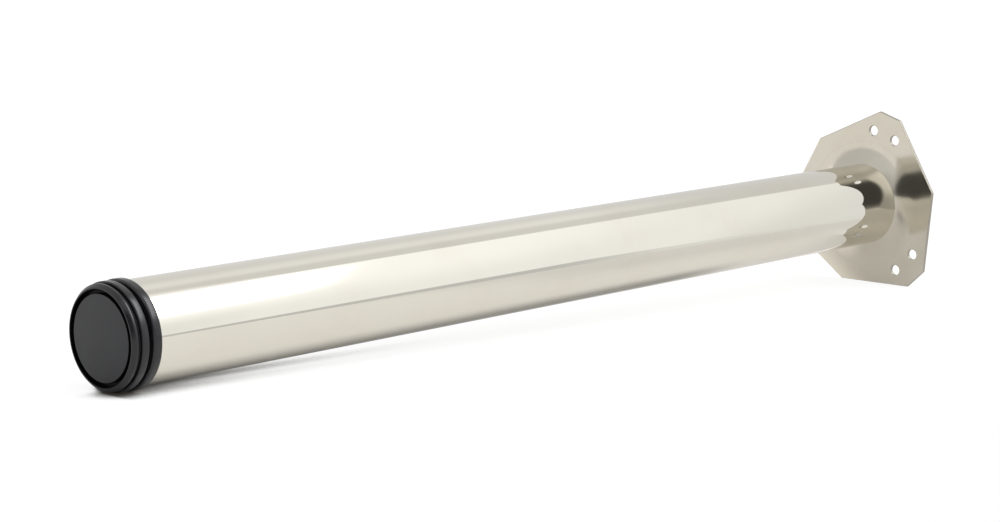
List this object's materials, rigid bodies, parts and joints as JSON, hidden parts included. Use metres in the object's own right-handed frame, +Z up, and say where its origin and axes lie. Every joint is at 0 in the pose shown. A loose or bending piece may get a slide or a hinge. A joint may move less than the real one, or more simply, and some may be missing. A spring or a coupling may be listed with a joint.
{
  "type": "table leg",
  "caption": "Round plated steel table leg with a lobed screw plate at the table end and a black foot that screws out to level the table.",
  "frame": {"origin": "on the floor, under the middle of the leg's box as it lies at rest", "axes": "+X level along the leg from the foot to the screw plate, +Z up; the leg rests on one long plate edge and the flange of the plug"},
  "size_m": [0.7128, 0.132, 0.1291],
  "materials": {
    "plated_tube": "polished nickel plating",
    "plated_plate": "nickel plating, a little duller than the tube",
    "weld_metal": "plated weld bead",
    "black_plastic": "moulded black plastic with a low sheen",
    "grey_cap": "matte dark grey plastic",
    "zinc_steel": "zinc-plated steel"
  },
  "bodies": {
    "leg": {"leg_tube": "plated_tube", "mounting_plate": "plated_plate", "weld_bead": "weld_metal", "foot_insert": "black_plastic", "insert_nut": "zinc_steel"},
    "stud": {"levelling_stud": "zinc_steel"},
    "foot": {"foot_body": "black_plastic", "sole_cap": "grey_cap"}
  },
  "joints": [
    {"name": "foot_height", "type": "slide", "parent": "leg", "child": "stud", "axis": [-0.9992, 0, -0.0396], "range_m": [0, 0.0195]},
    {"name": "foot_turn", "type": "hinge", "parent": "stud", "child": "foot", "pos_m": [-0.35534, -0.00519, 0.03092], "axis": [-0.9992, 0, -0.0396], "range_deg": [0, 4680]}
  ],
  "couplings": [
    {"joint": "foot_height", "follows": "foot_turn", "m_per_rad": 0.00023873}
  ]
}
